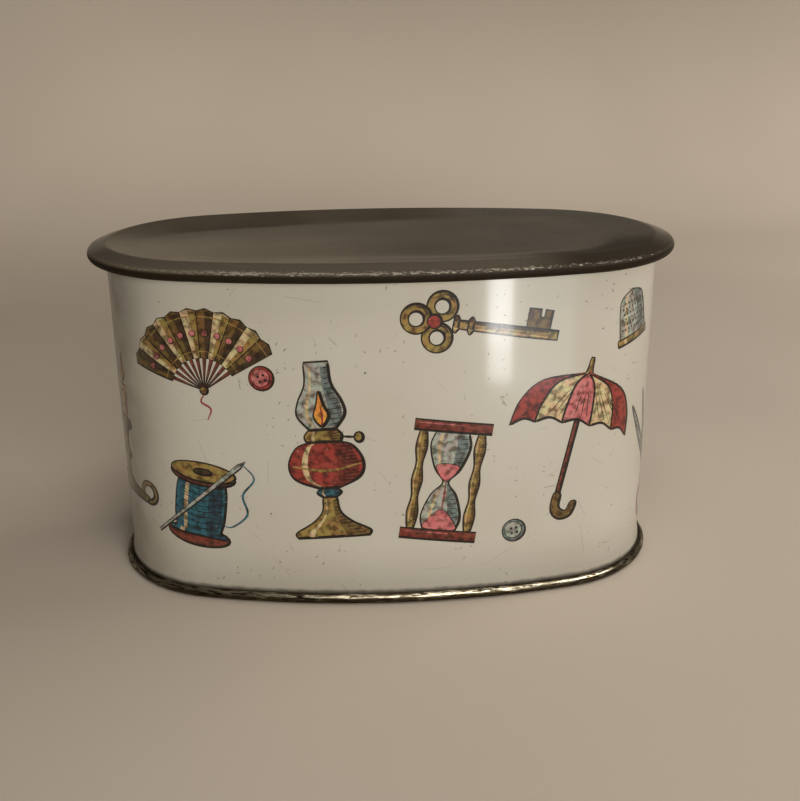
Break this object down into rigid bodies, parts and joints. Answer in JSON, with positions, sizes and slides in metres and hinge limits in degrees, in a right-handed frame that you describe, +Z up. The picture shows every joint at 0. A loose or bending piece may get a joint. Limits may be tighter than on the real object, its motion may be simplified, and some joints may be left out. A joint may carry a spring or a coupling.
{
  "type": "bobbin box",
  "caption": "Oval printed tinplate box with a loose overhanging lid, a collar that plugs the mouth and a double-seamed base, for keeping sewing bobbins and notions.",
  "frame": {"origin": "centre of the footprint, on the surface that the box stands on", "axes": "+Z up, +X along the length, front of the box towards -Y"},
  "size_m": [0.1532, 0.0812, 0.0895],
  "materials": {
    "printed_enamel": "gloss",
    "tarnished_tin": "satin",
    "dark_lacquer": "satin",
    "bright_tin": "satin"
  },
  "bodies": {
    "box": {"body_wall": "printed_enamel", "base_panel": "tarnished_tin"},
    "lid": {"lid_cover": "dark_lacquer", "lid_collar": "bright_tin"}
  },
  "joints": [
    {"name": "lid_lift", "type": "slide", "parent": "box", "child": "lid", "axis": [0, 0, 1], "range_m": [0, 0.12]}
  ]
}
